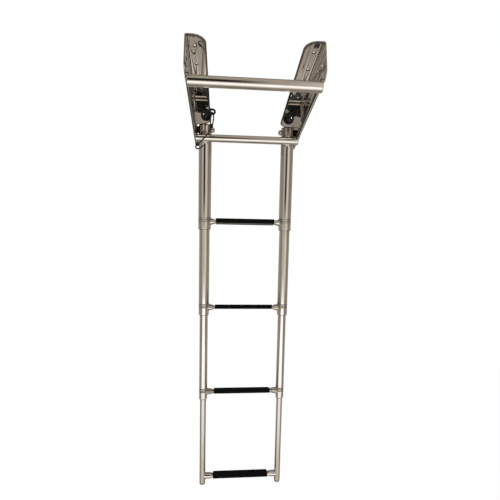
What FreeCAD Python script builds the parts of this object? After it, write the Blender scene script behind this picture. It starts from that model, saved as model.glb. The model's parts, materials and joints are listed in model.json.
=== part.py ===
import FreeCAD, Part
import math
import os
import re

import Sketcher
from FreeCAD import Placement, Rotation, Vector

# Telescopic boarding ladder that is screwed under a platform, in millimetres.
# +X runs across the ladder, +Y points outboard and +Z points up. The origin is on the top face of
# the left track's web, on its screw line, midway along the screws. The right side is the left
# side mirrored. The ladder is modelled swung down and pulled out to its full length.

SIZES = {
    # Tracks
    "track_span": (317, "across the side walls of both tracks"),
    "track_length": (406, "length of a track"),
    "track_height": (86.5, "height of a track"),
    "track_sheet": (3, "sheet thickness of the tracks"),
    "inboard_reach": (196.5, "from the middle of the screws to the tracks' inboard end"),
    "web_width": (47, "width of the web that takes the screws"),
    "web_corner": (30, "radius of the web's free corners"),
    "wall_corner": (22.5, "radius of the side wall's lower corners"),
    "lip_height": (14, "height of the turned-up lip"),
    "bend_radius": (2, "inside radius of the sheet bends"),
    "screw_inset": (20, "from the side wall's outer face to the screw line"),
    "screw_pitch": (64, "from screw to screw"),
    "screw_hole": (3.5, "radius of a screw hole"),
    # Crossbars
    "bar_inset": (9, "from the side wall's outer face in to the crossbars' ends"),
    "inboard_bar": (12.7, "radius of the inboard crossbar"),
    "outboard_bar": (11.1, "radius of the outboard crossbar"),
    "bar_wall": (1.5, "wall of the crossbars"),
    "plug_crown": (3, "how far an end plug stands out of its bar"),
    "plug_depth": (12, "how far an end plug goes into its bar"),
    # Carriages
    "carriage_sheet": (4, "plate thickness of the carriages"),
    "carriage_length": (106, "length of a carriage"),
    "carriage_along": (57.5, "place of the carriages' inboard edge"),
    "carriage_width": (40.2, "width of a carriage's upper plate from the track's wall"),
    "carriage_corner": (5, "radius of the carriage plates' corners"),
    "runner_gap": (0.3, "gap between a carriage and its track's wall"),
    "web_gap": (3, "gap between a carriage's upper plate and the web above it"),
    "pad_sheet": (2.5, "thickness of the slide pads under the carriages' upper plates"),
    "pad_length": (62, "length of a slide pad"),
    "pad_inset": (1.5, "from a carriage's inboard edge to its slide pad"),
    # Pivots
    "pivot_along": (130.6, "place of the pivots"),
    "pivot_height": (25, "height of the pivots above the tracks' underside"),
    "bolt_radius": (4, "radius of the pivot bolts"),
    "bolt_play": (0.08, "radial clearance of the pivot bolts in the rails"),
    "bolt_head": (7.5, "radius of the countersunk bolt heads"),
    "spacer_radius": (10, "radius of the spacers"),
    "nut_radius": (8, "radius of the dome nuts"),
    "nut_height": (5, "height of the dome nuts' straight part"),
    "nut_round": (1.5, "radius of the dome nuts' edges"),
    # Locks
    "lock_across": (37.5, "from the side wall's outer face to the lock pins"),
    "lock_along": (85.5, "place of the lock pins"),
    "lock_pin": (3, "radius of the lock pins"),
    "lock_play": (0.3, "clearance round the lock pins"),
    "lock_housing": (5, "radius of the plunger housings"),
    "housing_collar": (8, "radius of the housings' lower collars"),
    "housing_collar_height": (3, "height of the housings' lower collars"),
    "housing_hex": (9.5, "corner radius of the housings' hexagons"),
    "housing_hex_height": (5, "height of the housings' hexagons"),
    "ball_radius": (16, "radius of the ball knobs"),
    "ball_height": (47.5, "height of the ball knobs above the tracks' underside"),
    "pin_depth": (13, "how far a lock pin goes into its ball, from the ball's top"),
    # Ladder
    "rail_inset": (33.5, "from the side wall's outer face in to the rails' centres"),
    "lean": (15.5, "lean of the hanging ladder, in degrees"),
    "rest_gap": (0.3, "gap between the rails and the crossbar that they lean on"),
    "stage_1": (19.05, "radius of the first stage's rails"),
    "stage_2": (15.875, "radius of the second stage's rails"),
    "stage_3": (12.7, "radius of the third stage's rails"),
    "stage_4": (9.525, "radius of the fourth stage's rails"),
    "tube_wall": (1.5, "wall of the rails and rungs"),
    "slide_gap": (0.3, "radial clearance between the stages"),
    "rail_top": (11.7, "from the pivots up to the rails' top"),
    "step_1": (275.1, "from the pivots to the first rung"),
    "step_2": (270.5, "from the first rung to the second"),
    "step_3": (279.3, "from the second rung to the third"),
    "step_4": (293.5, "from the third rung to the fourth"),
    "rung_to_end": (24, "from a rung to its rails' lower end"),
    "overlap": (50, "length of a stage that stays inside the one above"),
    "lip_length": (3, "length of the rolled lip at a rail's lower end"),
    "bushing_length": (14, "length of a bushing"),
    "guide_length": (6, "length of a guide above its tube"),
    "guide_spigot": (9, "length of a guide inside its tube"),
    "cap_height": (2.5, "height of a rail's top cap"),
    "cap_spigot": (5, "length of a top cap inside its rail"),
    "foot_height": (5, "height of the closed ends of the last stage"),
    "foot_spigot": (10, "length of a closed end inside its rail"),
    # Rungs and treads
    "rung_radius": (9.5, "radius of a rung at the rails"),
    "rung_flat": (6.9, "half the width of a rung's flat faces where it is pressed flat"),
    "rung_height": (5, "half the height of a rung where it is pressed flat"),
    "rung_seam": (0.25, "half the width of the flats that a rung still has at the rails"),
    "rung_shoulder": (14, "length over which a rung changes from flat to round"),
    "tread_inset": (35, "from the rails' centres to the treads' ends"),
    "tread_depth": (34, "depth of a tread"),
    "tread_height": (13.5, "height of a tread"),
    "tread_drop": (5.5, "from a rung's centre down to its tread's underside"),
    "tread_slot": (18, "width of the open slot along a tread's underside"),
    "tread_corner": (4, "radius of a tread's long edges"),
    "tread_play": (0.2, "clearance of a tread on its rung"),
    "rib_pitch": (3.6, "from groove to groove across a tread"),
    "rib_groove": (1.6, "width of a tread's grooves"),
    "rib_depth": (1.2, "depth of a tread's grooves"),
    # Lanyard
    "cord_radius": (1.8, "radius of the lanyard's cord"),
    "eye_radius": (7.4, "radius of the eye round the lanyard's screw"),
    "eye_height": (3.8, "height of the eye"),
    "ring_radius": (7, "radius of the lanyard's ring, to the middle of its bar"),
    "ring_bar": (2.7, "radius of the ring's bar"),
    "knot_radius": (4.6, "radius of the sleeve under the ring"),
    "knot_length": (8, "length of the sleeve under the ring"),
    "crimp_radius": (3.3, "radius of the crimp near the cord's end"),
    "crimp_length": (8, "length of the crimp near the cord's end"),
}
STAGES = (1, 2, 3, 4)
SCREWS_PER_TRACK = 6
GROOVES_PER_TREAD = 6
# The lanyard's routes and places start from the left track's fourth screw hole, at the web's
# underside.
CORD_ROUTE = [
    (5.6, 0, -1.9), (12.5, -4.8, -3.9), (19.2, -2.2, -6.2), (23.6, 0.4, -12.3), (25.6, 1.6, -21.5),
    (26.7, 2, -31.5), (28.0, 2, -39.5), (32.0, 2, -46.2),
]
TAIL_ROUTE = [
    (32.9, 0.2, -94.8), (32.2, -1.6, -80), (32.0, -2.9, -66.5), (34.4, -2.9, -54.2),
    (38.9, 6.9, -54.2), (40.6, 6.9, -66.5), (39.4, 5.4, -80), (36.6, 3.6, -93.5),
    (32.2, 2, -106.5), (25.6, 2, -118.8),
    (16.6, 2, -129.6), (10.2, 2, -136.4), (2.6, 2, -146.6), (-6.4, 2, -153.6), (-6.6, 2, -160.2),
    (0.4, 2, -163), (8.2, 2, -158.4), (13.4, 2, -151.6),
]
RING_PLACE = (36.7, 2, -52.4)
KNOT_PLACE = (34.8, 1.9, -98.5)
CRIMP_PLACE = (1.25, 2, -147.65)
CRIMP_AIM = (-9, 0, -7)

# Places that follow from the sizes
CENTRE = "(track_span / 2 - screw_inset)"
UNDERSIDE = "(0 - track_height)"
PIVOT_UP = "(pivot_height - track_height)"
FLANGE_WIDTH = "(carriage_sheet + 2 * runner_gap + 2 * track_sheet)"
PLATE_FACE = "(track_sheet + runner_gap + carriage_sheet)"
PLATE_TOP = "(track_height - track_sheet - web_gap)"
BAR_LENGTH = "(track_span - 2 * bar_inset)"
RAIL_SPACING = "(track_span - 2 * rail_inset)"
TREAD_LENGTH = "(track_span - 2 * rail_inset - 2 * tread_inset)"
INBOARD_BAR_ALONG = "(wall_corner - inboard_reach)"
OUTBOARD_BAR_ALONG = (
    "(pivot_along + (pivot_height + outboard_bar) * tan(lean)"
    " - (stage_1 + outboard_bar + rest_gap) / cos(lean))"
)
RUNG_DOWN = {n: "(" + " + ".join(f"step_{k}" for k in range(1, n + 1)) + ")" for n in STAGES}
END_DOWN = {n: f"({RUNG_DOWN[n]} + rung_to_end)" for n in STAGES}
TOP_DOWN = {n: f"({END_DOWN[n - 1]} - overlap)" for n in STAGES[1:]}
TOP_DOWN[1] = "(0 - rail_top)"

doc = FreeCAD.newDocument("boarding_ladder")
sheet = doc.addObject("Spreadsheet::Sheet", "sizes")
for row, (alias, (size, meaning)) in enumerate(SIZES.items(), start=1):
    sheet.set(f"A{row}", meaning)
    sheet.set(f"B{row}", str(size))
    sheet.setAlias(f"B{row}", alias)
doc.recompute()
nodes = {}


def formula(text):
    """Turn a line of size names into an expression on the sheet."""
    return re.sub(r"[a-z]\w*", lambda word: f"sizes.{word[0]}" if word[0] in SIZES else word[0], text)


def amount(text):
    """Work out a formula now, as the first guess for a sketch."""
    return float(sheet.evalExpression(formula(text)))


def bind(thing, **properties):
    """Tie properties of an object to formulas."""
    for name, text in properties.items():
        thing.setExpression(name, formula(text))
    return thing


def place(thing, across="0", along="0", up="0"):
    """Tie an object's place to formulas, from the row's origin."""
    for axis, text in zip("xyz", (across, along, up)):
        thing.setExpression(f"Placement.Base.{axis}", formula(text))
    return thing


def hang(thing, across, down, tilt="lean"):
    """Place an object on the hanging ladder, a distance down its rails from the pivots."""
    thing.Placement = Placement(Vector(), Rotation(Vector(1, 0, 0), 1))
    thing.setExpression("Placement.Rotation.Angle", formula(tilt))
    return place(
        thing,
        f"{CENTRE} + ({across})",
        f"pivot_along + ({down}) * sin(lean)",
        f"{PIVOT_UP} - ({down}) * cos(lean)",
    )


def node(name, thing):
    """Keep an object as a named piece of the ladder."""
    thing.Label = name
    nodes[name] = thing
    return thing


def mirrored(name, source):
    """Mirror an object to the other side of the ladder."""
    copy = doc.addObject("Part::Mirroring", name)
    copy.Source = source
    copy.Normal = Vector(1, 0, 0)
    copy.setExpression("Base.x", formula(CENTRE))
    return copy


def both_sides(name, source):
    """Keep a left piece and its mirror image as two pieces."""
    node(f"left_{name}", source)
    return node(f"right_{name}", mirrored(f"right_{name}", source))


def pair(name, *sources):
    """Keep small pieces and their mirror images as one piece of several solids."""
    twins = doc.addObject("Part::Compound", name)
    twins.Links = [*sources, *(mirrored(f"{source.Name}_right", source) for source in sources)]
    return node(name, twins)


def cylinder(name, radius, length, axis="Z"):
    """Make a cylinder that starts at its origin and runs along an axis."""
    made = doc.addObject("Part::Cylinder", name)
    turns = {"X": Rotation(Vector(0, 1, 0), 90), "Y": Rotation(Vector(1, 0, 0), -90), "Z": Rotation()}
    made.Placement = Placement(Vector(), turns[axis])
    return bind(made, Radius=radius, Height=length)


def cut(name, base, tool):
    """Take one object out of another."""
    made = doc.addObject("Part::Cut", name)
    made.Base, made.Tool = base, tool
    return made


def fuse(name, *shapes):
    """Join objects into one solid."""
    made = doc.addObject("Part::MultiFuse", name)
    made.Shapes = list(shapes)
    return made


def sketch(body, role, across="0", up="0"):
    """Start a sketch on one of a body's own planes, with its origin moved in that plane."""
    drawn = body.newObject("Sketcher::SketchObject", "sketch")
    plane = next(item for item in body.Origin.OriginFeatures if item.Role == role)
    drawn.AttachmentSupport = [(plane, "")]
    drawn.MapMode = "FlatFace"
    drawn.setExpression("AttachmentOffset.Base.x", formula(across))
    drawn.setExpression("AttachmentOffset.Base.y", formula(up))
    return drawn


def hold(drawn, item, point, across, up):
    """Hold a point of a sketch by its two distances from the sketch's origin."""
    for kind, text, axis in (("DistanceX", across, -2), ("DistanceY", up, -1)):
        if text == "0":
            drawn.addConstraint(Sketcher.Constraint("PointOnObject", item, point, axis))
        else:
            made = drawn.addConstraint(
                Sketcher.Constraint(kind, -1, 1, item, point, amount(text))
            )
            drawn.setExpression(f"Constraints[{made}]", formula(text))


def outline(drawn, corners):
    """Draw a closed outline of straight lines through corners."""
    spots = [Vector(amount(across), amount(up), 0) for across, up in corners]
    count = len(spots)
    for n in range(count):
        drawn.addGeometry(Part.LineSegment(spots[n], spots[(n + 1) % count]))
    for n in range(count):
        drawn.addConstraint(Sketcher.Constraint("Coincident", n, 2, (n + 1) % count, 1))
    for n, (across, up) in enumerate(corners):
        hold(drawn, n, 1, across, up)
    return drawn


def circle(drawn, across, up, radius):
    """Draw a circle."""
    centre = Vector(amount(across), amount(up), 0)
    item = drawn.addGeometry(Part.Circle(centre, Vector(0, 0, 1), amount(radius)))
    hold(drawn, item, 3, across, up)
    made = drawn.addConstraint(Sketcher.Constraint("Radius", item, amount(radius)))
    drawn.setExpression(f"Constraints[{made}]", formula(radius))
    return drawn


def corner_waste(drawn, radius):
    """Draw what rounding a square corner takes away: two straight sides and an arc."""
    r = amount(radius)
    drawn.addGeometry(Part.LineSegment(Vector(0, 0, 0), Vector(r, 0, 0)))
    ring = Part.Circle(Vector(r, r, 0), Vector(0, 0, 1), r)
    drawn.addGeometry(Part.ArcOfCircle(ring, 3.14159265, 4.71238898))
    drawn.addGeometry(Part.LineSegment(Vector(0, r, 0), Vector(0, 0, 0)))
    for ends in ((0, 2, 1, 2), (1, 1, 2, 1), (2, 2, 0, 1), (0, 1, -1, 1)):
        drawn.addConstraint(Sketcher.Constraint("Coincident", *ends))
    drawn.addConstraint(Sketcher.Constraint("Horizontal", 0))
    drawn.addConstraint(Sketcher.Constraint("Vertical", 2))
    for kind, item, point in (("DistanceX", 0, 2), ("DistanceY", 2, 1), ("DistanceX", 1, 3)):
        made = drawn.addConstraint(Sketcher.Constraint(kind, -1, 1, item, point, r))
        drawn.setExpression(f"Constraints[{made}]", formula(radius))
    return drawn


def pad(body, profile, length, reverse=False, both_ways=False):
    """Pad a sketch along its normal, against it or half to each side."""
    made = body.newObject("PartDesign::Pad", "pad")
    made.Profile = profile
    made.Reversed = reverse
    made.Midplane = both_ways
    bind(made, Length=length)
    doc.recompute()
    return made


def pocket(body, profile):
    """Cut a sketch right through the body, to both sides."""
    made = body.newObject("PartDesign::Pocket", "pocket")
    made.Profile = profile
    made.Type = "ThroughAll"
    made.Midplane = True
    doc.recompute()
    return made


def revolve(body, profile):
    """Revolve a sketch about its vertical axis."""
    made = body.newObject("PartDesign::Revolution", "revolve")
    made.Profile = profile
    made.ReferenceAxis = (profile, ["V_Axis"])
    doc.recompute()
    return made


def round_edges(body, radius, wanted):
    """Fillet the edges of the body's last feature whose middle and direction are wanted."""
    last = body.Tip
    names = []
    for number, edge in enumerate(last.Shape.Edges, start=1):
        middle = edge.valueAt((edge.FirstParameter + edge.LastParameter) / 2)
        run = edge.Vertexes[-1].Point - edge.Vertexes[0].Point
        if wanted(middle, run):
            names.append(f"Edge{number}")
    made = body.newObject("PartDesign::Fillet", "fillet")
    made.Base = (last, names)
    bind(made, Radius=radius)
    doc.recompute()
    return made


def near(number, text):
    """Say whether a number is the value of a formula."""
    return abs(number - amount(text)) < 0.01


def runs_along(run, axis):
    """Say whether an edge runs along one axis only."""
    others = [abs(part) for part, name in zip(run, "XYZ") if name != axis]
    return run.Length > 0.1 and max(others) < 0.01


# Tracks
def track():
    """Make the left track: a bent channel with a screw web, a side wall and a J lip."""
    body = doc.addObject("PartDesign::Body", "left_track")
    lip_face = f"{FLANGE_WIDTH} - track_sheet"
    web_under = "track_height - track_sheet"
    profile = outline(sketch(body, "XZ_Plane"), [
        ("0", "0"), (FLANGE_WIDTH, "0"), (FLANGE_WIDTH, "lip_height"), (lip_face, "lip_height"),
        (lip_face, "track_sheet"), ("track_sheet", "track_sheet"), ("track_sheet", web_under),
        ("web_width", web_under), ("web_width", "track_height"), ("0", "track_height"),
    ])
    pad(body, profile, "track_length", reverse=True)
    inner = [("track_sheet", "track_sheet"), ("track_sheet", web_under), (lip_face, "track_sheet")]
    outer = [("0", "0"), ("0", "track_height"), (FLANGE_WIDTH, "0")]
    for spots, radius in ((inner, "bend_radius"), (outer, "bend_radius + track_sheet")):
        round_edges(body, radius, lambda middle, run: runs_along(run, "Y") and any(
            near(middle.x, across) and near(middle.z, up) for across, up in spots))
    round_edges(body, "web_corner", lambda middle, run: (
        runs_along(run, "Z") and near(middle.x, "web_width")))
    pocket(body, corner_waste(sketch(body, "YZ_Plane"), "wall_corner"))
    far_end = sketch(body, "YZ_Plane", across="track_length")
    far_end.AttachmentOffset = Placement(Vector(), Rotation(Vector(0, 1, 0), 180))
    far_end.setExpression("AttachmentOffset.Base.x", formula("track_length"))
    pocket(body, corner_waste(far_end, "wall_corner"))
    first_screw = f"inboard_reach - screw_pitch * {(SCREWS_PER_TRACK - 1) / 2}"
    hole = pocket(body, circle(sketch(body, "XY_Plane"), "screw_inset", first_screw, "screw_hole"))
    row_of_holes = body.newObject("PartDesign::LinearPattern", "screws")
    row_of_holes.Originals = [hole]
    y_axis = next(item for item in body.Origin.OriginFeatures if item.Role == "Y_Axis")
    row_of_holes.Direction = (y_axis, [""])
    row_of_holes.Occurrences = SCREWS_PER_TRACK
    bind(row_of_holes, Length=f"screw_pitch * {SCREWS_PER_TRACK - 1}")
    body.Tip = row_of_holes
    doc.recompute()
    pocket(body, circle(sketch(body, "XY_Plane"), "lock_across", "inboard_reach + lock_along",
                        "lock_pin + lock_play"))
    place(body, "0 - screw_inset", "0 - inboard_reach", UNDERSIDE)
    both_sides("track", body)


# Crossbars
def crossbar(name, radius, along):
    """Make a crossbar that is welded under both tracks, and return the plug in its left end."""
    start = f"{CENTRE} - {BAR_LENGTH} / 2"
    up = f"{UNDERSIDE} - {radius}"
    skin = place(cylinder(f"{name}_skin", radius, BAR_LENGTH, "X"), start, along, up)
    bore = place(cylinder(f"{name}_bore", f"{radius} - bar_wall", BAR_LENGTH, "X"), start, along, up)
    node(f"{name}_crossbar", cut(f"{name}_crossbar", skin, bore))
    body = doc.addObject("PartDesign::Body", f"{name}_plug")
    inside = f"{radius} - bar_wall"
    profile = outline(sketch(body, "XZ_Plane"), [
        ("0", "0"), (inside, "0"), (inside, "plug_depth"), (radius, "plug_depth"),
        (radius, "plug_depth + plug_crown"), ("0", "plug_depth + plug_crown"),
    ])
    revolve(body, profile)
    round_edges(body, "plug_crown * 0.9", lambda middle, run: (
        near(middle.z, "plug_depth + plug_crown") and run.Length < 0.1))
    body.Placement = Placement(Vector(), Rotation(Vector(0, 1, 0), -90))
    return place(body, f"{start} + plug_depth", along, up)


# Carriages
def carriage():
    """Make the left carriage: a bent plate that runs in the track's groove and under its web."""
    body = doc.addObject("PartDesign::Body", "left_carriage")
    back = "track_sheet + runner_gap"
    floor = "track_sheet + bend_radius + runner_gap"
    plate_under = f"{PLATE_TOP} - carriage_sheet"
    profile = outline(sketch(body, "XZ_Plane"), [
        (back, floor), (PLATE_FACE, floor), (PLATE_FACE, plate_under),
        (f"{back} + carriage_width", plate_under), (f"{back} + carriage_width", PLATE_TOP),
        (back, PLATE_TOP),
    ])
    pad(body, profile, "carriage_length", reverse=True)
    round_edges(body, "bend_radius + carriage_sheet", lambda middle, run: (
        runs_along(run, "Y") and near(middle.x, back) and near(middle.z, PLATE_TOP)))
    round_edges(body, "bend_radius", lambda middle, run: (
        runs_along(run, "Y") and near(middle.x, PLATE_FACE) and near(middle.z, plate_under)))
    round_edges(body, "carriage_corner", lambda middle, run: (
        (runs_along(run, "Z") and near(middle.x, f"{back} + carriage_width"))
        or (runs_along(run, "X") and near(middle.z, floor))))
    pocket(body, circle(sketch(body, "XY_Plane"), "lock_across", "lock_along - carriage_along",
                        "lock_housing"))
    pocket(body, circle(sketch(body, "YZ_Plane"), "pivot_along - carriage_along", "pivot_height",
                        "bolt_radius"))
    place(body, "0 - screw_inset", "carriage_along", UNDERSIDE)
    sunk = bind(doc.addObject("Part::Cone", "countersink"), Radius1="bolt_head",
                Radius2="bolt_radius", Height="bolt_head - bolt_radius")
    sunk.Placement = Placement(Vector(), Rotation(Vector(0, 1, 0), 90))
    place(sunk, f"{back} - screw_inset", "pivot_along", PIVOT_UP)
    both_sides("carriage", cut("left_carriage_plate", body, sunk))


def slide_pads():
    """Make the black pads that line the undersides of the carriages' upper plates."""
    body = doc.addObject("PartDesign::Body", "left_slide_pad")
    near_wall = f"{PLATE_FACE} + bend_radius + runner_gap"
    edge = "track_sheet + runner_gap + carriage_width"
    top = f"({PLATE_TOP} - carriage_sheet)"
    profile = outline(sketch(body, "XZ_Plane"), [
        (near_wall, f"{top} - pad_sheet"), (edge, f"{top} - pad_sheet"), (edge, top),
        (near_wall, top),
    ])
    pad(body, profile, "pad_length", reverse=True)
    round_edges(body, "carriage_corner", lambda middle, run: (
        runs_along(run, "Z") and near(middle.x, edge)))
    pocket(body, circle(sketch(body, "XY_Plane"), "lock_across",
                        "lock_along - carriage_along - pad_inset", "lock_housing"))
    place(body, "0 - screw_inset", "carriage_along + pad_inset", UNDERSIDE)
    pair("slide_pads", body)


# Pivots
def pivot():
    """Make the left pivot: a countersunk bolt with a dome nut, and the spacers on both bolts."""
    back = "track_sheet + runner_gap"
    nut_face = "rail_inset + stage_1 + rest_gap"
    body = doc.addObject("PartDesign::Body", "left_pivot_bolt")
    tip = f"{nut_face} + nut_height - ({back})"
    profile = outline(sketch(body, "XZ_Plane"), [
        ("0", "0"), ("bolt_head", "0"), ("bolt_radius", "bolt_head - bolt_radius"),
        ("bolt_radius", f"{nut_face} - ({back})"), ("nut_radius", f"{nut_face} - ({back})"),
        ("nut_radius", tip), ("bolt_radius", f"{tip} + bolt_radius"), ("0", f"{tip} + bolt_radius"),
    ])
    revolve(body, profile)
    round_edges(body, "nut_round", lambda middle, run: (
        run.Length < 0.1 and (near(middle.z, tip) or near(middle.z, f"{tip} + bolt_radius"))))
    body.Placement = Placement(Vector(), Rotation(Vector(0, 1, 0), 90))
    place(body, f"{back} - screw_inset", "pivot_along", PIVOT_UP)
    both_sides("pivot_bolt", body)

    length = f"rail_inset - stage_1 - rest_gap - {PLATE_FACE}"
    ring = [cylinder("spacer_skin", "spacer_radius", length, "X"),
            cylinder("spacer_bore", "bolt_radius", length, "X")]
    for item in ring:
        place(item, f"{PLATE_FACE} - screw_inset", "pivot_along", PIVOT_UP)
    pair("pivot_spacers", cut("left_pivot_spacer", *ring))


# Locks
def lock():
    """Make the left lock: a threaded housing, the pin that it guides and the ball knob."""
    across = "lock_across - screw_inset"
    ball_top = "ball_height + ball_radius"
    stem = cylinder("housing_stem", "lock_housing", f"{PLATE_TOP} - ({ball_top}) - lock_play")
    place(stem, across, "lock_along", f"{UNDERSIDE} + {ball_top} + lock_play")
    collar = cylinder("housing_collar", "housing_collar", "housing_collar_height")
    place(collar, across, "lock_along", f"{UNDERSIDE} + {ball_top} + lock_play")
    nut = bind(doc.addObject("Part::Prism", "housing_hexagon"), Circumradius="housing_hex",
               Height="housing_hex_height")
    place(nut, across, "lock_along",
          f"{UNDERSIDE} + {PLATE_TOP} - carriage_sheet - pad_sheet - housing_hex_height")
    bore = cylinder("housing_bore", "lock_pin + lock_play", "track_height")
    place(bore, across, "lock_along", UNDERSIDE)
    both_sides("lock_housing", cut("left_lock_housing", fuse("housing_body", stem, collar, nut), bore))

    pin_start = f"{ball_top} - pin_depth"
    pin = cylinder("left_lock_pin", "lock_pin", f"track_height - runner_gap - ({pin_start})")
    place(pin, across, "lock_along", f"{UNDERSIDE} + {pin_start}")
    both_sides("lock_pin", pin)
    ball = bind(doc.addObject("Part::Sphere", "ball"), Radius="ball_radius")
    place(ball, across, "lock_along", f"{UNDERSIDE} + ball_height")
    socket = cylinder("ball_socket", "lock_pin", "ball_radius * 2")
    place(socket, across, "lock_along", f"{UNDERSIDE} + {pin_start}")
    both_sides("lock_knob", cut("left_lock_knob", ball, socket))


# Ladder rails
def tube(n):
    """Make the left rail of a stage, with a rolled lip round the next stage's rail."""
    name = f"left_stage_{n}_tube"
    body = doc.addObject("PartDesign::Body", name)
    skin, bore = f"stage_{n}", f"stage_{n} - tube_wall"
    length = f"{END_DOWN[n]} - {TOP_DOWN[n]}"
    if n < STAGES[-1]:
        lip_bore = f"stage_{n + 1} + slide_gap"
        corners = [(lip_bore, "0"), (skin, "0"), (skin, length), (bore, length),
                   (bore, "lip_length"), (lip_bore, "lip_length")]
    else:
        corners = [(bore, "0"), (skin, "0"), (skin, length), (bore, length)]
    revolve(body, outline(sketch(body, "XZ_Plane"), corners))
    if n < STAGES[-1]:
        round_edges(body, "tube_wall", lambda middle, run: (
            run.Length < 0.1 and near(middle.z, "0") and abs(middle.Length - amount(skin)) < 0.01))
    if n == 1:
        pocket(body, circle(sketch(body, "YZ_Plane"), "0", END_DOWN[1], "bolt_radius + bolt_play"))
    hang(body, f"0 - {RAIL_SPACING} / 2", END_DOWN[n])
    both_sides(f"stage_{n}_tube", body)


def turned(name, corners, down):
    """Make a small turned piece in both rails, from a profile that starts a distance down them."""
    body = doc.addObject("PartDesign::Body", f"{name}_left")
    revolve(body, outline(sketch(body, "XZ_Plane"), corners))
    hang(body, f"0 - {RAIL_SPACING} / 2", down)
    pair(name, body)


def bushings(n):
    """Make the bushings above a stage's lower lips, which guide the next stage."""
    inner, outer = f"stage_{n + 1} + slide_gap", f"stage_{n} - tube_wall"
    turned(f"stage_{n}_bushings", [
        (inner, "0"), (outer, "0"), (outer, "bushing_length"), (inner, "bushing_length"),
    ], f"{END_DOWN[n]} - lip_length")


def guides(n):
    """Make the guides on top of a stage's rails, which run inside the stage above."""
    inside, outer = f"stage_{n} - tube_wall", f"stage_{n - 1} - tube_wall - slide_gap"
    turned(f"stage_{n}_guides", [
        ("0", "0"), (inside, "0"), (inside, "guide_spigot"), (outer, "guide_spigot"),
        (outer, "guide_spigot + guide_length"), ("0", "guide_spigot + guide_length"),
    ], f"{TOP_DOWN[n]} + guide_spigot")


def top_caps():
    """Make the caps on top of the first stage's rails."""
    turned("top_caps", [
        ("0", "0"), ("stage_1 - tube_wall", "0"), ("stage_1 - tube_wall", "cap_spigot"),
        ("stage_1", "cap_spigot"), ("stage_1", "cap_spigot + cap_height"),
        ("0", "cap_spigot + cap_height"),
    ], f"{TOP_DOWN[1]} + cap_spigot")


def feet():
    """Make the closed, rounded lower ends of the last stage."""
    last = STAGES[-1]
    body = doc.addObject("PartDesign::Body", "feet_left")
    skin = f"stage_{last}"
    bore = f"{skin} - tube_wall"
    revolve(body, outline(sketch(body, "XZ_Plane"), [
        ("0", "0"), (skin, "0"), (skin, "foot_height"), (bore, "foot_height"),
        (bore, "foot_height + foot_spigot"), ("0", "foot_height + foot_spigot"),
    ]))
    round_edges(body, "foot_height * 0.9", lambda middle, run: (
        run.Length < 0.1 and near(middle.z, "0")))
    hang(body, f"0 - {RAIL_SPACING} / 2", f"{END_DOWN[last]} + foot_height")
    pair("feet", body)


# Rungs and treads
def obround(drawn, half_flat, radius):
    """Draw two flats joined by two half circles, round the sketch's origin."""
    h, r = amount(half_flat), amount(radius)
    right = Part.Circle(Vector(h, 0, 0), Vector(0, 0, 1), r)
    left = Part.Circle(Vector(-h, 0, 0), Vector(0, 0, 1), r)
    drawn.addGeometry(Part.LineSegment(Vector(-h, -r, 0), Vector(h, -r, 0)))
    drawn.addGeometry(Part.ArcOfCircle(right, -math.pi / 2, math.pi / 2))
    drawn.addGeometry(Part.LineSegment(Vector(h, r, 0), Vector(-h, r, 0)))
    drawn.addGeometry(Part.ArcOfCircle(left, math.pi / 2, 3 * math.pi / 2))
    for ends in ((0, 2, 1, 1), (1, 2, 2, 1), (2, 2, 3, 1), (3, 2, 0, 1)):
        drawn.addConstraint(Sketcher.Constraint("Coincident", *ends))
    for arc, ends in ((1, (-1, 1, 1, 3)), (3, (3, 3, -1, 1))):
        drawn.addConstraint(Sketcher.Constraint("PointOnObject", arc, 3, -1))
        drawn.addConstraint(Sketcher.Constraint("Vertical", arc, 1, arc, 3))
        drawn.addConstraint(Sketcher.Constraint("Vertical", arc, 2, arc, 3))
        made = drawn.addConstraint(Sketcher.Constraint("DistanceX", *ends, h))
        drawn.setExpression(f"Constraints[{made}]", formula(half_flat))
        made = drawn.addConstraint(Sketcher.Constraint("Radius", arc, r))
        drawn.setExpression(f"Constraints[{made}]", formula(radius))
    return drawn


def rung_core(n, less):
    """Loft a rung from rail to rail: round, pressed flat under the tread, and round again."""
    flat, turn = f"{TREAD_LENGTH} / 2", f"({TREAD_LENGTH} / 2 + rung_shoulder)"
    end = f"{RAIL_SPACING} / 2"
    stations = [(f"0 - {end}", True), (f"0 - {turn}", True), (f"0 - {flat}", False),
                (flat, False), (turn, True), (end, True)]
    rings = []
    for across, is_round in stations:
        ring = doc.addObject("Sketcher::SketchObject", f"rung_{n}_section")
        obround(ring, "rung_seam" if is_round else "rung_flat",
                f"{'rung_radius' if is_round else 'rung_height'} - {less}")
        ring.Placement = Placement(Vector(), Rotation(Vector(1, 1, 1), 120))
        rings.append(place(ring, across))
    core = doc.addObject("Part::Loft", f"rung_{n}_core")
    core.Sections = rings
    core.Solid = True
    core.Ruled = True
    return core


def rung(n):
    """Make a hollow rung, coped to its rails, with its flat part level."""
    walled = cut(f"rung_{n}_tube", rung_core(n, "0"), rung_core(n, "tube_wall"))
    walled.Placement = Placement(Vector(), Rotation(Vector(1, 0, 0), 1))
    walled.setExpression("Placement.Rotation.Angle", formula("0 - lean"))
    length = "4 * rung_radius"
    rails = []
    for side in (f"0 - {RAIL_SPACING} / 2", f"{RAIL_SPACING} / 2"):
        rail = cylinder(f"rung_{n}_cope", f"stage_{n}", length)
        rails.append(place(rail, side, "0", f"0 - {length} / 2"))
    coped = cut(f"rung_{n}", walled, fuse(f"rung_{n}_copes", *rails))
    node(f"rung_{n}", hang(coped, "0", RUNG_DOWN[n]))


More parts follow.
